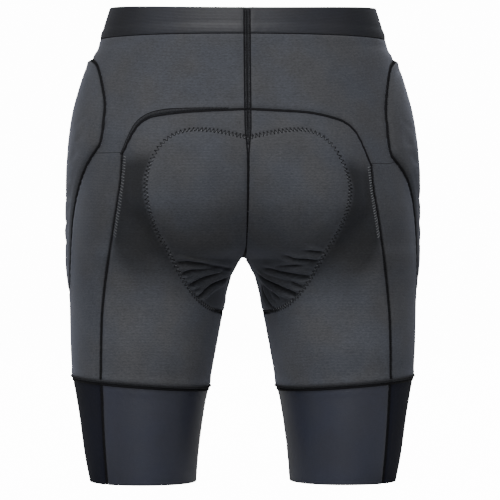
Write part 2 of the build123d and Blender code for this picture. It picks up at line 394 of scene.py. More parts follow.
# Pulls in the cloth at the crotch, as (width, depth, [(x, z), ...]) seen from behind, from the seat pad's
# stitching towards the inside of the leg
LEFT_FOLDS = [
    (1.5, 1.0, [(70.7, 238), (64.2, 238.5), (56.2, 237)]),
    (2.0, 2.5, [(69.7, 233.5), (59.2, 235), (48.7, 234.5), (33.1, 232), (16, 229)]),
    (1.8, 2.1, [(64.2, 222), (55.2, 226), (42.2, 228.5), (16, 230)]),
    (1.8, 2.3, [(57.2, 210.5), (48.7, 215), (39.7, 220), (26.8, 226), (13.7, 229)]),
    (1.3, 0.9, [(62.2, 216), (56.2, 220), (50.2, 222)]),
    (1.9, 2.5, [(49.2, 197.5), (42.2, 204.5), (31.9, 212), (14.8, 219)]),
    (1.4, 1.0, [(54.2, 204), (48.2, 208), (42.2, 209.5)]),
]
RIGHT_FOLDS = [
    (1.6, 2.0, [(82.3, 243), (74.3, 244.5), (65.8, 248), (55.8, 251)]),
    (1.9, 2.8, [(79.8, 235.5), (66.8, 236), (53.8, 240.5), (44.8, 244.5), (35.8, 250)]),
    (1.4, 1.6, [(72.8, 232), (55.8, 233), (40.3, 232), (24.9, 231)]),
    (1.8, 2.4, [(69.3, 218.5), (55.8, 220.5), (42.8, 223.5), (29.8, 228), (18.9, 230)]),
    (1.4, 1.4, [(63.8, 210), (55.8, 210), (46.8, 214), (41.3, 217.5)]),
    (2.0, 2.8, [(53.3, 200.5), (44.8, 204.5), (35.8, 208), (21.1, 216.5), (13.3, 225)]),
    (1.4, 1.0, [(35.3, 197), (29.8, 202), (26.8, 206)]),
    (1.9, 2.4, [(32.3, 184), (26.8, 192), (22.4, 199.5), (15.9, 212.5)]),
]
FOLDS = {side: [(width, depth, on_side(points, True, 2.0)) for width, depth, points in folds]
         for side, folds in ((1, LEFT_FOLDS), (-1, RIGHT_FOLDS))}
FOLD_DEPTH = 1.8  # multiplies the depths of the folds
FOLD_HEIGHTS = (165.0, 262.0)  # between which the folds lie
PAD_STITCH = 4.6  # how wide the stitching round the seat pad is, and how far apart its puckers are
SAG = 10.5  # how much lower the right side's seams hang at most
SWELL_W, SWELL_Z, SWELL_STEP = (-0.5, 0.52), (188, 460), 4.0  # the patch round the hip pad that is simulated
SWELL_LIMIT = 1.2
W_LENGTH = 235  # how many mm of cloth a step of 1 in w is, roughly
# what the cloth simulation adds to the heights in that patch
SWELL = np.zeros((int(np.ptp(SWELL_Z) / SWELL_STEP) + 1, int(np.ptp(SWELL_W) * W_LENGTH / SWELL_STEP) + 1))


def pulled(f, side):
    """The folds at the crotch: a valley with a ridge on each side, fading towards both ends."""
    d = np.zeros(len(f.s))
    if side not in FOLDS:
        return d
    near = np.where((f.w > 0.3) & (f.z > FOLD_HEIGHTS[0]) & (f.z < FOLD_HEIGHTS[1]))[0]
    if not len(near):
        return d
    s, z = f.s[near], f.z[near]
    for width, depth, line in FOLDS[side]:
        away, along = nearest(line, s, z)
        total = run_of(line)[-1]
        fade = ramp(along + 1.5, 5) * ramp(total - along + 1.0, total * 0.45)
        fade *= np.exp(-np.maximum(away - 6, 0) / 2)
        fade *= ramp(f.pad[near] - 0.5, 5)  # the pad's stitching holds the cloth
        valley_and_ridge = 0.55 * bump(away - 2.3 * width, 1.5 * width) - bump(away, width)
        d[near] += FOLD_DEPTH * depth * fade * valley_and_ridge
    return d


def hip_height(f):
    """How far the hip pad pushes its cover out. The cloth round it is lifted too, just outside the seam."""
    amount = np.interp(f.z, BULGE[:, 0], BULGE[:, 1])
    rise = 0.36 * ramp(f.hip + 5, 8) + 0.64 * (1 - (1 - np.clip(f.hip / 20, 0, 1)) ** 2.3)
    # the thick upper end of the pad, and the cloth that it lifts beyond the seam
    lip = 4.6 * ramp(f.hip + 1.5, 4.5) * bump(f.z - 447, 7)
    lip += 1.8 * ramp(f.hip + 11, 11) * bump(f.z - 452, 7)
    return amount * rise + lip + swell(f)


def swell(f):
    """What the simulated cloth adds to the hip pad."""
    (w0, w1), (z0, z1), (rows, cols) = SWELL_W, SWELL_Z, SWELL.shape
    r, c = (f.z - z0) / (z1 - z0) * (rows - 1), (f.w - w0) / (w1 - w0) * (cols - 1)
    covered = (f.w > w0) & (f.w < w1) & (f.z > z0) & (f.z < z1)
    return np.where(covered, between(SWELL[..., None], r, c)[:, 0], 0)


def relief(f, side):
    """Height of the outer surface above the plain body shape."""
    s, z = f.s, f.z
    d = hip_height(f)
    # a notch between the hip pad and the waistband, which is a little hollow itself
    d -= 1.4 * bump(z - 460, 6.0) * ramp(f.x - 92, 45) * ramp(-f.hip, 4)
    d -= 0.2 * ramp(f.band, 5) * ramp(WAIST_TOP - z, 30)
    # the seat: fuller behind, hollow between the buttock and the side seam, and under the buttock
    low = ramp(f.z - 150, 60)
    d += 4.2 * ramp(f.buttock + 14, 34) * ramp(402 - z, 50) * (f.w > 0)
    d -= 3.4 * bump(f.buttock + 12, 15) * ramp(f.seat, 14) * ramp(385 - z, 40) * low * (f.w > 0)
    # the seat pad behind its stitching
    stitched = np.interp(z, [200, 225, 285, 295], [0.6, 1.0, 1.0, 0.55])
    d += np.where(f.pad > 0, 1.7 * (1 - (1 - np.clip(f.pad / 22, 0, 1)) ** 2), 0)
    d -= (0.5 + 0.9 * stitched) * bump(f.pad, 1.9)
    close = np.where((np.abs(f.pad) < 12) & (f.w > 0.2))[0]
    if len(close):
        away, along = nearest(PAD_S, s[close], z[close])
        ripple = np.sin(along * 2 * math.pi / PAD_STITCH + 1.2 * wander(s[close], z[close], 7, 30))
        d[close] += 0.55 * stitched[close] * ripple * np.exp(-(away / 3.6) ** 2) * ramp(away, 1.0)
    # seams are drawn in, and the cloth beside them stands up a little
    below = f.band < 0
    for dist, deep, on in ((f.hip, 1.2, 1), (f.seat, 1.1, 1), (f.front, 0.8, below), (f.pouch, 0.8, below),
                           (f.cuff, 0.6, 1), (f.band, 0.7, 1), (f.middle, 0.9, 1), (f.inner, 0.8, 1)):
        near = np.abs(dist)
        d += on * (-deep * bump(near, 2.1) + 0.35 * bump(near - 6.0, 3.4))
        phase = 1.4 * wander(s, z, 5, 24)
        d += on * 0.20 * np.sin((s + z) * 0.62 + phase + side) * np.exp(-near / 7) * ramp(near, 1.5)
    # the knit panels end in a fold over the smooth cuffs, which are narrower
    d += 0.3 * bump(f.cuff + 5, 5) - 0.9 * ramp(f.cuff, 4)
    # a fine groove round the waistband
    d -= 0.3 * bump(z - 478.5, 1.6)
    # low, broad unevenness
    d += 0.55 * wander(s * side, z, 11, 34) * ramp(f.middle, 20) * ramp(-f.band, 12) * ramp(-f.cuff + 20, 30)
    return d + pulled(f, side) * ramp(f.inner, 8)


def on_middle(f):
    """Whether a point lies on the plane between the two halves."""
    return (np.abs(f.x) < 0.02) & (f.z > CROTCH - 1)


def place(w, z, side, height=0.0, f=None):
    """World positions in mm of surface points, with the relief plus a height."""
    f = f or Fields(w, z)
    n = sample(NORMAL, w, z)
    # The two halves meet on the middle plane, so nothing there moves sideways.
    n[:, 0] *= ramp(f.middle, 7)
    size = np.linalg.norm(n, axis=1)
    n /= np.maximum(size, 0.3)[:, None]
    p = f.p + n * (relief(f, side) + height)[:, None]
    p[:, 0] = np.where(on_middle(f), 0, p[:, 0])
    p[:, 0] *= side
    p[:, 1] += SIDE_LINE
    if side < 0:  # the seams of this side hang a little lower, but not the outline
        p[:, 2] -= SAG * ramp(f.x - 55, 75) * (1 - ramp(f.x - 140, 45)) * bump(z - SIDE_PANEL_TOP, 52)
    p[:, 2] -= HEM
    return p


# ---------------------------------------------------------------- meshes

TINY = 1e-6


def clip(v, t, f):
    """The part of the triangles t of points v where the field f of the points is positive."""
    f = np.where(np.abs(f) < TINY, TINY, f)
    keep = f > 0
    count = keep[t].sum(1)
    whole = t[count == 3]
    cut = t[(count > 0) & (count < 3)]
    if not len(cut) and keep.all():
        return v, t
    if not len(cut):
        used, whole = np.unique(whole, return_inverse=True)
        return v[used], whole.reshape(-1, 3)
    lone = keep[cut].sum(1) == 1
    odd = np.where(lone[:, None], keep[cut], ~keep[cut]).argmax(1)
    cut = np.stack([cut[np.arange(len(cut)), (odd + k) % 3] for k in range(3)], -1)
    a, b, c = cut.T
    edges = np.sort(np.concatenate([np.stack([a, b], -1), np.stack([a, c], -1)]), 1)
    unique, back = np.unique(edges, axis=0, return_inverse=True)
    back = back.reshape(-1)
    ratio = (f[unique[:, 0]] / (f[unique[:, 0]] - f[unique[:, 1]]))[:, None]
    new = v[unique[:, 0]] * (1 - ratio) + v[unique[:, 1]] * ratio
    ab, ac = back[:len(a)] + len(v), back[len(a):] + len(v)
    one = np.stack([a, ab, ac], -1)[lone]
    two = ~lone
    quads = np.concatenate([np.stack([ab, b, c], -1)[two], np.stack([ab, c, ac], -1)[two]])
    t = np.concatenate([whole, one, quads])
    v = np.concatenate([v, new])
    used, t = np.unique(t, return_inverse=True)
    return v[used], t.reshape(-1, 3)


def grid_quads(rows, cols):
    """The four corners of each cell of a grid of points, counted row by row."""
    i = (np.arange(rows - 1)[:, None] * cols + np.arange(cols - 1)).ravel()
    return np.stack([i, i + 1, i + cols + 1, i + cols], -1)


def sheet_grid(z0, z1, step, w0, w1=1.0):
    """Points (w, z) and triangles that cover a stretch of the surface."""
    rows = int(round((z1 - z0) / step)) + 1
    cols = int(round((w1 - w0) * W_LENGTH / step)) + 1
    z, w = np.linspace(z0, z1, rows), np.linspace(w0, w1, cols)
    ww, zz = np.meshgrid(w, z)
    v = np.stack([ww.ravel(), zz.ravel()], -1)
    quad = grid_quads(rows, cols)
    odd = (np.arange(rows - 1)[:, None] + np.arange(cols - 1)).ravel() % 2 == 0
    t = np.where(odd[:, None], quad[:, [0, 1, 2]], quad[:, [0, 1, 3]])
    u = np.where(odd[:, None], quad[:, [0, 2, 3]], quad[:, [1, 2, 3]])
    return v, np.concatenate([t, u])


def mesh_object(name, points, blocks, material):
    """A smooth object from points in mm, and faces as arrays with a row of corners for each face."""
    sizes = np.concatenate([np.full(len(block), block.shape[1]) for block in blocks])
    corners = np.concatenate([block.ravel() for block in blocks])
    mesh = bpy.data.meshes.new(name)
    mesh.vertices.add(len(points))
    mesh.vertices.foreach_set("co", (points * MM).astype(np.float32).ravel())
    mesh.loops.add(len(corners))
    mesh.loops.foreach_set("vertex_index", corners.astype(np.int32))
    mesh.polygons.add(len(sizes))
    mesh.polygons.foreach_set("loop_start", (np.cumsum(sizes) - sizes).astype(np.int32))
    mesh.update(calc_edges=True)
    mesh.validate()
    mesh.polygons.foreach_set("use_smooth", np.full(len(mesh.polygons), True))
    obj = bpy.data.objects.new(name, mesh)
    bpy.context.scene.collection.objects.link(obj)
    if material:
        mesh.materials.append(material)
    return obj


BASE = {}


def base_fields(z0, z1, step, w0):
    """A grid and its distances, made once for all the panels that start from it."""
    key = (z0, z1, step, w0)
    if key not in BASE:
        v, t = sheet_grid(z0, z1, step, w0)
        BASE[key] = (v, t, Fields(v[:, 0], v[:, 1]))
    return BASE[key]


def rim_edges(t):
    """The edges that only one triangle has, in its direction."""
    e = np.concatenate([t[:, [0, 1]], t[:, [1, 2]], t[:, [2, 0]]])
    _, first, count = np.unique(np.sort(e, 1), axis=0, return_index=True, return_counts=True)
    return e[first[count == 1]]


def heights(height, f):
    """A height for each point, from a number or from a function of the distances."""
    return height(f) if callable(height) else np.full(len(f.w), float(height))


def this_half(f):
    """Positive on this half's side of the middle plane. Under the crotch all of a leg is."""
    return np.where(f.z < CROTCH - 1, 1.0, f.x)


def panel(name, sides, z0, z1, cuts, material, slot, top=0.0, bottom=-THICK, step=2.0, w0=-1.0, fill=None):
    """A closed layer of cloth or foam, in place of the CAD node of its name: the part of the surface where
    every cut is positive, on one side of the body or on both. top and bottom are heights over the outer
    surface. fill, how full a padded piece is, is not used."""
    v, t, f = base_fields(z0, z1, step, w0)
    for cut in [this_half, *cuts]:
        before = v
        v, t = clip(v, t, cut(f))
        f = f if v is before else Fields(v[:, 0], v[:, 1])
    n = len(v)
    centre = on_middle(f)
    points, faces = [], []
    for k, side in enumerate(sides):
        high = place(v[:, 0], v[:, 1], side, heights(top, f), f)
        low = place(v[:, 0], v[:, 1], side, heights(bottom, f), f)
        out = np.cross(high[t[:, 1]] - high[t[:, 0]], high[t[:, 2]] - high[t[:, 0]])
        up = sample(NORMAL, v[t[:, 0], 0], v[t[:, 0], 1]) * (side, 1, 1)
        outer = t[:, ::-1] if (out * up).sum() < 0 else t
        a, b = rim_edges(outer).T
        if len(sides) > 1:
            open_edge = ~(centre[a] & centre[b])
            a, b = a[open_edge], b[open_edge]
        tri = np.concatenate([outer, outer[:, ::-1] + n,
                              np.stack([b, a, a + n], -1), np.stack([b, a + n, b + n], -1)])
        if k:  # the second side shares the first side's points on the middle plane
            own = np.arange(2 * n) + 2 * n
            shared = np.concatenate([centre, centre])
            tri = np.where(shared, np.arange(2 * n), own)[tri]
        points += [high, low]
        faces.append(tri)
    points, faces = np.concatenate(points), np.concatenate(faces)
    used, faces = np.unique(faces, return_inverse=True)
    obj = mesh_object(name, points[used], [faces.reshape(-1, 3)], material)
    # painted light and shade for each point, which the knit materials multiply their colour by
    painted_shading_values = np.concatenate([np.tile(painted_light_and_shade(f, side), 2) for side in sides])[used]
    obj.data.attributes.new("painted_light_and_shade", "FLOAT", "POINT").data.foreach_set("value", painted_shading_values.astype(np.float32))
    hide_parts(name)
    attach(obj, "root")


def painted_light_and_shade(f, side):
    """Painted light and shade: how much light the yarn gives back, made lower where shade falls, beside the
    seams, in the folds' valleys, on the lower part of the seat pad, at the sides of the waistband, on the
    seat panel beside the pad and on the side and front panels below the yoke, and higher where light falls,
    on the folds' ridges and on the thighs."""
    # painted shade on the seat panel beside the seat pad
    beside = ramp(f.seat - 1, 5) * ramp(-f.pad, 4) * ramp(f.z - 190, 70) * ramp(352 - f.z, 22)
    painted_shade = 0.72 * beside * np.clip(1.25 - ramp(-f.pad - 34, 30), 0, 1)
    # painted shade at the sides of the waistband
    painted_shade += 0.45 * ramp(f.x - 78, 58) * (f.band > 0)
    # painted shade beside the seams
    for seam, deep, width in ((f.seat, 0.30, 3.0), (f.hip, 0.30, 3.0), (f.cuff, 0.25, 3.5)):
        painted_shade += deep * bump(np.abs(seam), width)
    # painted shade on the side and front panels below the yoke
    painted_shade += 0.13 * ramp(-f.seat, 6) * ramp(352 - f.z, 20) * ramp(-f.cuff, 4)
    # painted shade on the lower part of the seat pad
    painted_shade += 0.50 * ramp(f.pad + 2, 8) * ramp(325 - f.z, 105) * ramp(f.z - 160, 20)
    # painted shade in the folds' valleys, painted highlight on their ridges
    painted_shade += np.clip(-0.22 * pulled(f, side), -0.25, 0.6)
    # painted light on the thighs
    painted_thigh_light = 0.16 * ramp(222 - f.z, 60) * (f.cuff < 0)
    return 1 + painted_thigh_light - np.clip(painted_shade, -0.3, 0.8)


CLOTH_FRAMES = 20
COVER_GROWTH = 0.015  # how much larger the cover was cut than the pad
PATCH_DEPTH = 8.0  # how far the fixed back of the patch lies inside the plain body shape


def simulated_swell():
    """Lets the cover of a hip pad swell like a cushion that is held along its seam. Blender's cloth moves a
    closed patch of it, and what that adds is returned in the form of SWELL."""
    rows, cols = SWELL.shape
    ww, zz = np.meshgrid(np.linspace(*SWELL_W, cols), np.linspace(*SWELL_Z, rows))
    w, z = ww.ravel(), zz.ravel()
    f = Fields(w, z)
    n = len(w)
    high, low = place(w, z, 1, 0.0, f), place(w, z, 1, -PATCH_DEPTH - np.maximum(relief(f, 1), 0), f)
    quad = grid_quads(rows, cols)
    loop = np.concatenate([np.arange(cols), np.arange(1, rows) * cols + cols - 1,
                           (rows - 1) * cols + np.arange(cols - 2, -1, -1),
                           np.arange(rows - 2, 0, -1) * cols])
    after = np.roll(loop, -1)
    rim = np.stack([after, loop, loop + n, after + n], -1)
    out = np.cross(high[quad[:, 1]] - high[quad[:, 0]], high[quad[:, 3]] - high[quad[:, 0]])
    faces = np.concatenate([quad, quad[:, ::-1] + n, rim])
    if (out * sample(NORMAL, w[quad[:, 0]], z[quad[:, 0]])).sum() < 0:
        faces = faces[:, ::-1]
    obj = mesh_object("patch", np.concatenate([high, low]), [faces], None)
    group = obj.vertex_groups.new(name="held")
    group.add([int(k) for k in np.where(f.hip < 2)[0]] + list(range(n, 2 * n)), 1.0, "REPLACE")
    cloth = obj.modifiers.new("cloth", "CLOTH")
    settings = cloth.settings
    settings.quality, settings.mass = 6, 0.12
    settings.tension_stiffness, settings.compression_stiffness = 12, 6
    settings.shear_stiffness, settings.bending_stiffness = 5, 0.5
    settings.vertex_group_mass = "held"
    settings.use_pressure, settings.uniform_pressure_force = True, 3.0
    settings.shrink_min = -COVER_GROWTH
    settings.effector_weights.gravity = 0
    cloth.collision_settings.use_collision = False
    cloth.point_cache.frame_start, cloth.point_cache.frame_end = 1, CLOTH_FRAMES
    for number in range(1, CLOTH_FRAMES + 1):
        bpy.context.scene.frame_set(number)
    moved = obj.evaluated_get(bpy.context.evaluated_depsgraph_get()).data
    co = np.empty(len(moved.vertices) * 3, np.float32)
    moved.vertices.foreach_get("co", co)
    co = co.reshape(-1, 3)[:n] / MM
    bpy.context.scene.frame_set(1)
    rise = ((co - high) * sample(NORMAL, w, z)).sum(1)
    mesh = obj.data
    bpy.data.objects.remove(obj)
    bpy.data.meshes.remove(mesh)
    # the pads' heights were measured on the swollen cover, so only what differs from the middle value is new
    extra = np.clip(rise - np.median(rise[f.hip > 8]), -SWELL_LIMIT, SWELL_LIMIT)
    return (extra * ramp(f.hip, 8)).reshape(rows, cols)


# ---------------------------------------------------------------- lines of sewing

def normals_of(line, closed=False):
    """The direction across a line at each of its points."""
    t = np.gradient(line, axis=0)
    if closed:
        t = np.roll(line, -1, 0) - np.roll(line, 1, 0)
    t /= np.linalg.norm(t, axis=1, keepdims=True) + 1e-9
    return np.stack([-t[:, 1], t[:, 0]], -1)


def at(line_sz, side, height):
    """World positions at (s, z) points, standing height above the cloth."""
    w = w_of(line_sz[:, 0], line_sz[:, 1])
    return place(w, line_sz[:, 1], side, height)


TAPE_SINK = 0.5  # how far a strip's edges go into the cloth


def tape(name, lines, tall, material, sides=(1, -1), half=False):
    """A crowned strip sewn along (s, z) lines. Each line is (points, closed, width or widths)."""
    across = np.array([-1, -0.62, 0, 0.62, 1])
    lift = np.array([-TAPE_SINK, tall * 0.8, tall, tall * 0.8, -TAPE_SINK])
    if half:  # its middle lies on the body's middle plane, and the other side's strip joins it there
        across, lift = across[:3], lift[:3]
    m = len(across)
    all_p, all_f, start = [], [], 0
    for side in sides:
        for line, closed, wide in lines:
            n = normals_of(line, closed)
            k = len(line)
            wide = np.broadcast_to(wide, k)[:, None, None]
            pts = (line[:, None] + n[:, None] * across[None, :, None] * wide / 2).reshape(-1, 2)
            p = at(pts, side, np.tile(lift, k))
            rows = np.arange(k if closed else k - 1)
            nxt = (rows + 1) % k
            faces = np.concatenate([np.stack([rows * m + j, rows * m + (j + 1) % m,
                                              nxt * m + (j + 1) % m, nxt * m + j], -1) for j in range(m)])
            blocks = [faces]
            if not closed:
                ends = [np.arange(m)[::-1], np.arange(m) + (k - 1) * m]
                blocks += [np.stack([np.full(m - 2, e[0]), e[1:-1], e[2:]], -1) for e in ends]
            all_f += [(block if side > 0 else block[:, ::-1]) + start for block in blocks]
            all_p.append(p)
            start += len(p)
    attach(mesh_object(name, np.concatenate(all_p), all_f, material), "root")


def threads(name, run, radius, material, sides=(1, -1)):
    """Short stitches, from an array (stitches, points, 3) of (s, z, height)."""
    ring = np.array([(1, 0), (0, 1), (-1, 0), (0, -1)], float)
    m, k, _ = run.shape
    flat = run.reshape(-1, 3)
    all_p, all_f = [], []
    for number, side in enumerate(sides):
        p = at(flat[:, :2], side, flat[:, 2]).reshape(m, k, 3)
        up = at(flat[:, :2], side, flat[:, 2] + 1.0).reshape(m, k, 3) - p
        up /= np.linalg.norm(up, axis=-1, keepdims=True) + 1e-9
        flank = np.cross(np.gradient(p, axis=1), up)
        flank /= np.linalg.norm(flank, axis=-1, keepdims=True) + 1e-9
        v = p[:, :, None] + radius * (flank[:, :, None] * ring[:, :1] + up[:, :, None] * ring[:, 1:])
        idx = (np.arange(m * k * 4) + number * m * k * 4).reshape(m, k, 4)
        for j in range(4):
            a, b = idx[:, :-1, j], idx[:, :-1, (j + 1) % 4]
            c, e = idx[:, 1:, (j + 1) % 4], idx[:, 1:, j]
            all_f.append(np.stack([a, b, c, e], -1).reshape(-1, 4))
        all_f += [idx[:, 0, ::-1], idx[:, -1]]
        all_p.append(v.reshape(-1, 3))
    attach(mesh_object(name, np.concatenate(all_p), all_f, material), "root")


def resample(line, pitch):
    """A line with a point about every pitch."""
    return evenly(line, max(int(round(run_of(line)[-1] / pitch)), 2))


def stitched(a, b, height, foot):
    """Stitches from points a to points b, height over the cloth in the middle and foot at the ends."""
    ends, tops = np.full(len(a), foot), np.full(len(a), height)
    return np.stack([np.column_stack([a, ends]), np.column_stack([(a + b) / 2, tops]),
                     np.column_stack([b, ends])], 1)


def zigzag(line, pitch, wide, height):
    """Stitches that run from side to side along a line."""
    pts = resample(line, pitch)
    flip = np.where(np.arange(len(pts)) % 2 == 0, 1, -1)[:, None]
    ends = pts + normals_of(pts) * flip * wide / 2
    return stitched(ends[:-1], ends[1:], height, 0.05)


def rungs(line, pitch, wide, height, slant=0.6, shift=0.0):
    """Stitches across a line, as an overlock has. slant tips them, and shift moves them off the line."""
    pts = resample(line, pitch)
    n = normals_of(pts)
    reach_out = n * wide / 2 + np.stack([n[:, 1], -n[:, 0]], -1) * slant
    pts = pts + n * shift
    return stitched(pts - reach_out, pts + reach_out, height, 0.0)


# ---------------------------------------------------------------- materials

def new_material(name):
    material = bpy.data.materials.new(name)
    material.use_nodes = True
    return material, material.node_tree, material.node_tree.nodes["Principled BSDF"]


def set_inputs(nt, node, inputs):
    """Gives inputs of a node a value, or links them to another node's output."""
    for socket, given in inputs.items():
        if isinstance(given, bpy.types.NodeSocket):
            nt.links.new(given, node.inputs[socket])
        else:
            node.inputs[socket].default_value = given


def add_node(nt, kind, inputs, output=0, **settings):
    """Adds a node and returns one of its outputs."""
    node = nt.nodes.new("ShaderNode" + kind)
    for name, setting in settings.items():
        setattr(node, name, setting)
    set_inputs(nt, node, inputs)
    return node.outputs[output]


def noise(nt, where, scale, detail=2.0, roughness=0.5):
    inputs = {"Vector": where, "Scale": scale, "Detail": detail, "Roughness": roughness}
    return add_node(nt, "TexNoise", inputs, "Fac")


def spread(nt, values, low, high, to_low=0.0, to_high=1.0):
    """The values between low and high, spread over another range."""
    return add_node(nt, "MapRange", {"Value": values, "From Min": low, "From Max": high,
                                     "To Min": to_low, "To Max": to_high})


def product(nt, a, b):
    return add_node(nt, "Math", {0: a, 1: b}, operation="MULTIPLY")


def scaled(nt, vector, factor):
    return add_node(nt, "VectorMath", {0: vector, "Scale": factor}, operation="SCALE")


def bumps(nt, heights_from, strength, distance, normal=None):
    """A bump map, on top of another one where a normal is given."""
    inputs = {"Strength": strength, "Distance": distance, "Height": heights_from}
    return add_node(nt, "Bump", {**inputs, "Normal": normal} if normal else inputs)


NOISE_LOW, NOISE_HIGH = 0.3, 0.7  # between which nearly all of a noise's values lie


def knit(name, colour, rough=0.85, rib=1.5, rib_depth=0.25, heather=0.25, sheen=0.25, coarse=0.08, spec=0.25):
    """Knitted cloth: fine courses across the body, flecked yarn and a soft bloom. rib is the height of a
    course in mm. heather and coarse are how much the brightness varies, by the yarn and over the cloth."""
    material, nt, bsdf = new_material(name)
    in_mm = scaled(nt, add_node(nt, "TexCoord", {}, "Object"), 1 / MM)
    along_yarn = add_node(nt, "Mapping", {"Vector": in_mm, "Scale": (0.35, 0.35, 1.0)})
    fleck = noise(nt, along_yarn, 1.1, 3.0, 0.7)
    wave = {"Vector": in_mm, "Scale": 0.314 / rib, "Distortion": 0.35, "Detail": 1.0, "Detail Scale": 2.0}
    courses = add_node(nt, "TexWave", wave, "Fac", wave_type="BANDS", bands_direction="Z", wave_profile="SIN")
    yarns = spread(nt, fleck, NOISE_LOW, NOISE_HIGH, 1 - heather, 1 + heather)
    clouds = spread(nt, noise(nt, in_mm, 0.035, 3.0), NOISE_LOW, NOISE_HIGH, 1 - coarse, 1 + coarse)
    bright = product(nt, product(nt, yarns, clouds), spread(nt, courses, 0.0, 1.0, 0.86, 1.08))
    # the yarn's brightness times the painted light and shade stored on the mesh
    bright = product(nt, bright, add_node(nt, "Attribute", {}, "Fac", attribute_name="painted_light_and_shade"))
    red, green, blue = colour
    warm, cool = (red * 1.02, green, blue * 0.96, 1), (red * 0.97, green, blue * 1.05, 1)
    patches = spread(nt, noise(nt, in_mm, 0.022), 0.38, 0.62)
    hue = add_node(nt, "Mix", {"Factor": patches, "A": warm, "B": cool}, "Result", data_type="RGBA")
    relief_of_courses = bumps(nt, courses, rib_depth, 0.0004)
    set_inputs(nt, bsdf, {
        "Base Color": scaled(nt, hue, bright),
        "Normal": bumps(nt, fleck, 0.35, 0.0003, relief_of_courses),
        "Roughness": rough, "Specular IOR Level": spec,
        "Sheen Weight": sheen, "Sheen Roughness": 0.45, "Sheen Tint": (0.75, 0.8, 1.0, 1.0)})
    return material


def plain(name, colour, rough=0.6, grain=0.0, grain_size=1.0, spec=0.3):
    """One colour, whose brightness varies by grain over grains of about grain_size mm."""
    material, nt, bsdf = new_material(name)
    grains = noise(nt, add_node(nt, "TexCoord", {}, "Object"), 1 / MM / grain_size)
    bright = spread(nt, grains, NOISE_LOW, NOISE_HIGH, 1 - grain, 1 + grain)
    set_inputs(nt, bsdf, {
        "Base Color": scaled(nt, colour, bright), "Normal": bumps(nt, grains, 0.3, 0.0002),
        "Roughness": rough, "Specular IOR Level": spec})
    return material


MAIN = knit("main knit", (0.050, 0.052, 0.059), rib_depth=0.15, sheen=0.16)
COVER = knit("pad cover knit", (0.051, 0.053, 0.060), rib_depth=0.15, coarse=0.05, sheen=0.16)
BAND = knit("waistband knit", (0.019, 0.020, 0.026), rough=0.50, heather=0.14, coarse=0.05, sheen=0.05,
            spec=0.4)
CUFF = knit("cuff knit", (0.026, 0.029, 0.046), rough=0.48, rib=0.9, rib_depth=0.10, heather=0.08, sheen=0.0,
            coarse=0.04, spec=0.45)
# the cuff cloth made darker on the side panels, which face sideways: partly their dark colour, partly painted
# shade
CUFF_SIDE_SHADED = knit("cuff side knit painted shade", (0.012, 0.013, 0.021), rough=0.7, rib=0.9, rib_depth=0.10, heather=0.08,
                 sheen=0.0, coarse=0.04, spec=0.10)
SEAM = plain("seam piping", (0.006, 0.006, 0.0075), 0.8, 0.35, 0.8, spec=0.15)
OVERLOCK = plain("overlock yarn", (0.026, 0.027, 0.031), 0.85, 0.5, 0.7, spec=0.2)
THREAD = plain("black thread", (0.005, 0.005, 0.006), 0.6, 0.2, 0.5, spec=0.2)
GREY_THREAD = plain("grey thread", (0.15, 0.155, 0.165), 0.7, 0.25, 0.5)
ELASTIC = knit("elastic", (0.018, 0.018, 0.020), rough=0.6, rib=2.4, rib_depth=0.6, heather=0.2, sheen=0.1)
MESH = knit("mesh lining", (0.040, 0.040, 0.044), rough=0.9, rib=2.0, rib_depth=0.9, heather=0.4)
FACING = knit("brushed facing", (0.050, 0.052, 0.058), rough=0.95, rib=3.0, rib_depth=0.2, heather=0.4,
              sheen=0.4)
FOAM = knit("foam", (0.035, 0.036, 0.040), rough=0.95, rib=3.5, rib_depth=0.3, heather=0.5, sheen=0.0)
SILICONE = knit("silicone", (0.018, 0.019, 0.022), rough=0.35, rib=4.0, rib_depth=1.0, heather=0.1, sheen=0.0,
                spec=0.5)
LABEL = knit("label", (0.62, 0.62, 0.60), rough=0.45, rib=0.7, rib_depth=0.1, heather=0.03, sheen=0.1,
             spec=0.4)

# ---------------------------------------------------------------- panels

LEFT, RIGHT, BOTH = (1,), (-1,), (1, -1)
HIP_POCKET = 5.2  # the hip pad reaches this far inside the plain body shape
LINING_TOP = -1.5  # the height of what lies under the cloth


def foam_under(f):
    """The inner face of the hip pad's foam."""
    deep = -HIP_POCKET - relief(f, 0)
    return LINING_TOP + (deep - LINING_TOP) * ramp(f.hip - 2, 7)


def lobe_under(f):
    """The inner face of the seat pad's foam."""
    return LINING_TOP - 7.6 * (1 - (1 - np.clip(f.foam / 16, 0, 1)) ** 2)


def outside_hip(f):
    return -f.hip


def above_cuff(f):
    return -f.cuff


def in_cuff(f):
    return f.cuff


def in_pouch(f):
    return f.pouch


# piece, the heights that it lies between, what else bounds it, material, slot, and the panel's other values
ACROSS = [
    ("waistband", WAIST_SEAM, WAIST_TOP, [lambda f: f.rim], BAND, "waistband_knit", {}),
    ("front_pouch", 230, WAIST_SEAM, [in_pouch], MAIN, "main_knit", {}),
    ("waistband_elastic", WAIST_SEAM + 3, WAIST_TOP, [lambda f: f.rim - 9], ELASTIC, "elastic",
     {"top": LINING_TOP, "bottom": -2.7}),
    ("pouch_lining", 250, WAIST_SEAM - 6, [in_pouch], MESH, "mesh_lining",
     {"top": LINING_TOP, "bottom": -2.4}),
    ("seat_pad_facing", 178, 372, [lambda f: f.pad], FACING, "brushed_facing",
     {"top": lambda f: lobe_under(f) - 0.2, "bottom": lambda f: lobe_under(f) - 1.2, "w0": -0.02,
      "fill": 0.7}),
    ("care_label", 425, 463, [lambda f: 15 - f.x], LABEL, "label_satin",
     {"top": -1.6, "bottom": -2.1, "w0": 0.0}),
]
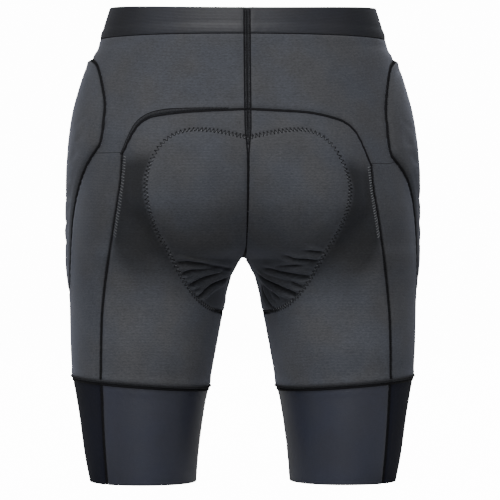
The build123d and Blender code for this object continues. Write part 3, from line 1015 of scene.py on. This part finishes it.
PAIRS = [
    ("yoke", 330, WAIST_SEAM, [outside_hip, lambda f: f.side, lambda f: f.z - SIDE_PANEL_TOP], MAIN,
     "main_knit", {}),
    ("seat_panel", 90, 395, [lambda f: f.seat, above_cuff], MAIN, "main_knit", {"step": 1.6, "w0": 0.0}),
    ("side_panel", 90, SIDE_PANEL_TOP, [outside_hip, lambda f: f.side, above_cuff], MAIN, "main_knit", {}),
    ("front_panel", 90, WAIST_SEAM, [lambda f: f.front, lambda f: -f.pouch, above_cuff], MAIN,
     "main_knit", {}),
    ("cuff_back", HEM, 130, [in_cuff, lambda f: f.seat], CUFF, "cuff_knit", {}),
    ("cuff_front", HEM, 130, [in_cuff, lambda f: f.front], CUFF, "cuff_knit", {}),
    ("cuff_side", HEM, 130, [in_cuff, lambda f: f.side], CUFF_SIDE_SHADED, "cuff_knit", {}),
    ("gripper", HEM + 1.5, HEM + 23.5, [], SILICONE, "silicone", {"top": LINING_TOP, "bottom": -2.3}),
    # each hip pad is a padded pocket: cover, foam and mesh lining
    ("hip_cover", 190, 458, [lambda f: f.hip], COVER, "pad_cover_knit", {"fill": 0.8}),
    ("hip_pad", 190, 458, [lambda f: f.hip - 3], FOAM, "foam",
     {"top": -1.4, "bottom": foam_under, "fill": 0.9}),
    ("hip_pocket_lining", 186, 460, [lambda f: f.hip + 2.5], MESH, "mesh_lining",
     {"top": lambda f: foam_under(f) - 0.15, "bottom": lambda f: foam_under(f) - 0.9}),
    ("seat_foam", 225, 362, [lambda f: f.foam - 1], FOAM, "foam",
     {"top": -1.4, "bottom": lobe_under, "w0": 0.0, "fill": 0.8}),
]
SWELL[:] = simulated_swell()
for piece, z0, z1, cuts, material, slot, more in ACROSS:
    panel(piece, BOTH, z0, z1, cuts, material, slot, **more)
for tag, sides in (("left", LEFT), ("right", RIGHT)):
    for piece, z0, z1, cuts, material, slot, more in PAIRS:
        panel(f"{piece}_{tag}", sides, z0, z1, cuts, material, slot, **more)

# ---------------------------------------------------------------- seams

LEVEL_STEP = 2.0


def level(z, s0, s1):
    """An (s, z) line at one height, from s0 to s1."""
    s = np.linspace(s0, s1, max(int(abs(s1 - s0) / LEVEL_STEP), 3))
    return np.stack([s, np.full(len(s), z)], -1)


def cuff_line():
    """The cuffs' seam, which rises outwards, found in a few rounds."""
    w = np.linspace(-1, 1, 240)
    z = np.full(len(w), CUFF_SEAM)
    for _ in range(4):
        z = CUFF_SEAM + CUFF_RISE * sample(GRID, w, z)[:, 0]
    return np.stack([s_of(w, z), z], -1)


def shifted(line, amount):
    """A line moved across its run, by one distance or by one for each point."""
    return line + normals_of(line) * np.broadcast_to(amount, len(line))[:, None]


def s_at(line, z):
    """The s of a line's point nearest to a height."""
    return line[np.abs(line[:, 1] - z).argmin(), 0]


def between_heights(line, low, high=math.inf):
    return line[(line[:, 1] > low) & (line[:, 1] < high)]


FRONT_MIDDLE, BACK_MIDDLE = (np.interp(WAIST_SEAM, ROWS, LENGTHS[:, k]) for k in (2, 3))
WAIST_LINE, CUFF_LINE = level(WAIST_SEAM, -FRONT_MIDDLE, BACK_MIDDLE), cuff_line()
JOIN_BACK = level(SIDE_PANEL_TOP, BACK_S[0, 0], s_at(HIP_B, SIDE_PANEL_TOP))
JOIN_FRONT = level(SIDE_PANEL_TOP, s_at(FRONT_S, SIDE_PANEL_TOP), s_at(HIP_F, SIDE_PANEL_TOP))
BACK_VISIBLE = between_heights(BACK_S, HEM + 1)
FRONT_VISIBLE = between_heights(FRONT_S, HEM + 1, WAIST_SEAM)
POUCH_VISIBLE = between_heights(POUCH_S, -math.inf, WAIST_SEAM)
CENTRE_BACK = centre_seam(True, WAIST_TOP - 9.5)[:-2]
INSEAM = between_heights(inseam(True), HEM + 0.5)

tape("seam_waist", [(WAIST_LINE, False, 1.5)], 0.2, SEAM)
# a black strip along the cuff seam, below the overlock ridge: partly the seam, partly painted shadow under
# the ridge
tape("seam_cuff_painted_shadow", [(shifted(CUFF_LINE, -0.9), False, 3.4)], 0.9, SEAM)
tape("overlock_cuff", [(shifted(CUFF_LINE, 2.3), False, 4.4)], 1.2, OVERLOCK)
tape("seam_hip", [(HIP_LOOP, True, 2.4)], 0.8, SEAM)

# the left side's yoke seam varies in width, and a strip of overlock shows under it
yoke_run = run_of(YOKE_S)
wide_left = np.interp(yoke_run, [0, 26, 34, 92, 104, 116, 134], [3.0, 3.0, 2.4, 2.4, 3.6, 3.4, 2.8])
tape("seam_yoke_left", [(YOKE_S, False, wide_left)], 0.8, SEAM, LEFT)
tape("seam_yoke_right", [(YOKE_S, False, 3.2)], 0.8, SEAM, RIGHT)
strip = YOKE_S[(yoke_run > 20) & (yoke_run < 146)]
strip_run = run_of(strip)
strip_wide = np.interp(strip_run, [0, 36, 62, 84, 100, strip_run[-1]], [0.6, 2.6, 4.2, 3.6, 2.2, 0.6])
strip_middle, strip_edge = shifted(strip, -1.0 - strip_wide / 2), shifted(strip, -1.0 - strip_wide)
tape("overlock_yoke_left", [(strip_middle, False, strip_wide)], 0.9, OVERLOCK, LEFT)
tape("edge_overlock_yoke", [(strip_edge, False, 1.2)], 0.7, SEAM, LEFT)

side_back_wide = np.interp(BACK_VISIBLE[:, 1], [228, 265], [3.3, 1.7])
tape("seam_side_back", [(BACK_VISIBLE, False, side_back_wide)], 0.6, SEAM)
tape("seam_side_front", [(FRONT_VISIBLE, False, 2.8)], 0.6, SEAM)
tape("seam_pouch", [(POUCH_VISIBLE, False, 2.8)], 0.6, SEAM)
tape("seam_join", [(JOIN_BACK, False, 1.0), (JOIN_FRONT, False, 1.0)], 0.12, OVERLOCK)

# the centre back seam opens into two lines with overlock between them
apart = np.interp(CENTRE_BACK[:, 1], [344, 368], [0.8, 3.0])
centre_wide = np.interp(CENTRE_BACK[:, 1], [335, 368], [2.1, 1.7])
upper = between_heights(CENTRE_BACK, 352)
upper_wide = np.interp(upper[:, 1], [352, 372], [1.6, 4.6])
tape("seam_centre_back", [(CENTRE_BACK - apart[:, None] * (1, 0), False, centre_wide)], 0.5, SEAM)
tape("overlock_centre_back", [(upper, False, upper_wide)], 0.35, OVERLOCK, half=True)
tape("seam_inside_leg", [(INSEAM, False, 2.6)], 0.5, SEAM)

threads("stitch_seat_pad", zigzag(PAD_S, 2.0, PAD_STITCH, 0.4), 0.30, THREAD)
threads("ticks_seat_pad", rungs(shifted(PAD_S, 0.6), 3.8, 2.0, 0.45, 0.3), 0.26, GREY_THREAD)
threads("stitch_side_back", rungs(BACK_VISIBLE, 1.9, 4.0, 0.8), 0.30, THREAD)
ladder = between_heights(BACK_S, 262, 342)
for tag, sides, thick in (("left", LEFT, 0.24), ("right", RIGHT, 0.36)):
    threads(f"ladder_side_back_{tag}", rungs(ladder, 2.9, 4.4, 0.45, 1.0, 3.1), thick, GREY_THREAD, sides)
threads("stitch_overlock_yoke", rungs(strip_middle, 3.0, 3.4, 1.15, 0.5), 0.22, THREAD, LEFT)
threads("stitch_overlock_centre", rungs(shifted(upper, -1.3), 1.8, 2.0, 0.6, 0.5), 0.24, THREAD)
threads("stitch_overlock_cuff", rungs(shifted(CUFF_LINE, 2.3), 1.8, 3.6, 1.45, 0.6), 0.26, THREAD)
threads("stitch_hip", rungs(resample(HIP_CLOSED, 2.0), 2.0, 3.0, 0.95, 0.5), 0.24, THREAD)

# ---------------------------------------------------------------- camera and light

WHITE, AMBIENT = 14.0, 0.22  # how bright the studio looks to the camera, and how bright it is as a light


def seen_only(nt, base=0.0):
    """A strength that is higher by WHITE for what the camera sees directly."""
    camera_ray = add_node(nt, "LightPath", {}, "Is Camera Ray")
    return add_node(nt, "Math", {0: camera_ray, 1: WHITE, 2: base}, operation="MULTIPLY_ADD")


pale = plain("floor", (0.40, 0.40, 0.40), 0.9)
tree = pale.node_tree
set_inputs(tree, tree.nodes["Principled BSDF"],
           {"Emission Color": (1, 1, 1, 1), "Emission Strength": seen_only(tree)})
FLOOR = 9000  # half the length of its sides
corners = np.array([(-1, -1, 0), (1, -1, 0), (1, 1, 0), (-1, 1, 0)], float) * FLOOR
floor = mesh_object("floor", corners, [np.array([[0, 1, 2, 3]])], pale)

world = bpy.data.worlds.new("studio")
bpy.context.scene.world = world
world.use_nodes = True
tree = world.node_tree
set_inputs(tree, tree.nodes["Background"], {"Color": (1, 1, 1, 1), "Strength": seen_only(tree, AMBIENT)})

# name, place, target, size and watts, in metres
LIGHTS = [
    ("key", (0.5, 1.9, 3.1), (0, 0, 0.28), 1.2, 90),
    ("fill", (0.3, 3.4, 0.9), (0, 0, 0.12), 1.6, 42),
    ("side left", (2.4, 1.4, 1.6), (0, 0, 0.25), 1.2, 7),
    ("front key", (-0.6, -2.0, 3.0), (0, 0, 0.28), 1.2, 70),
    ("front fill", (-0.3, -3.4, 1.2), (0, 0, 0.2), 1.6, 26),
]
for name, where, target, size, watts in LIGHTS:
    data = bpy.data.lights.new(name, "AREA")
    data.shape, data.size, data.energy = "DISK", size, watts
    light = bpy.data.objects.new(name, data)
    bpy.context.scene.collection.objects.link(light)
    light.location = where
    light.rotation_mode = "QUATERNION"
    light.rotation_quaternion = (Vector(target) - Vector(where)).to_track_quat("-Z", "Y")

CAMERA_DISTANCE, CAMERA_X, CAMERA_HEIGHT = 3.1, -0.0074, 0.2478 - HEM * MM  # in metres
TURN = math.radians(2.5)  # the camera stands a little to the wearer's left
cam_data = bpy.data.cameras.new("camera")
cam_data.sensor_width, cam_data.lens = 36.0, 213.8
cam_data.clip_start, cam_data.clip_end = 0.1, 50
cam = bpy.data.objects.new("camera", cam_data)
bpy.context.scene.collection.objects.link(cam)
cam.location = (CAMERA_X + CAMERA_DISTANCE * math.sin(TURN),
                SIDE_LINE * MM + CAMERA_DISTANCE * math.cos(TURN), CAMERA_HEIGHT)
cam.rotation_euler = (math.pi / 2, 0, math.pi - TURN)
bpy.context.scene.camera = cam

bpy.context.view_layer.update()
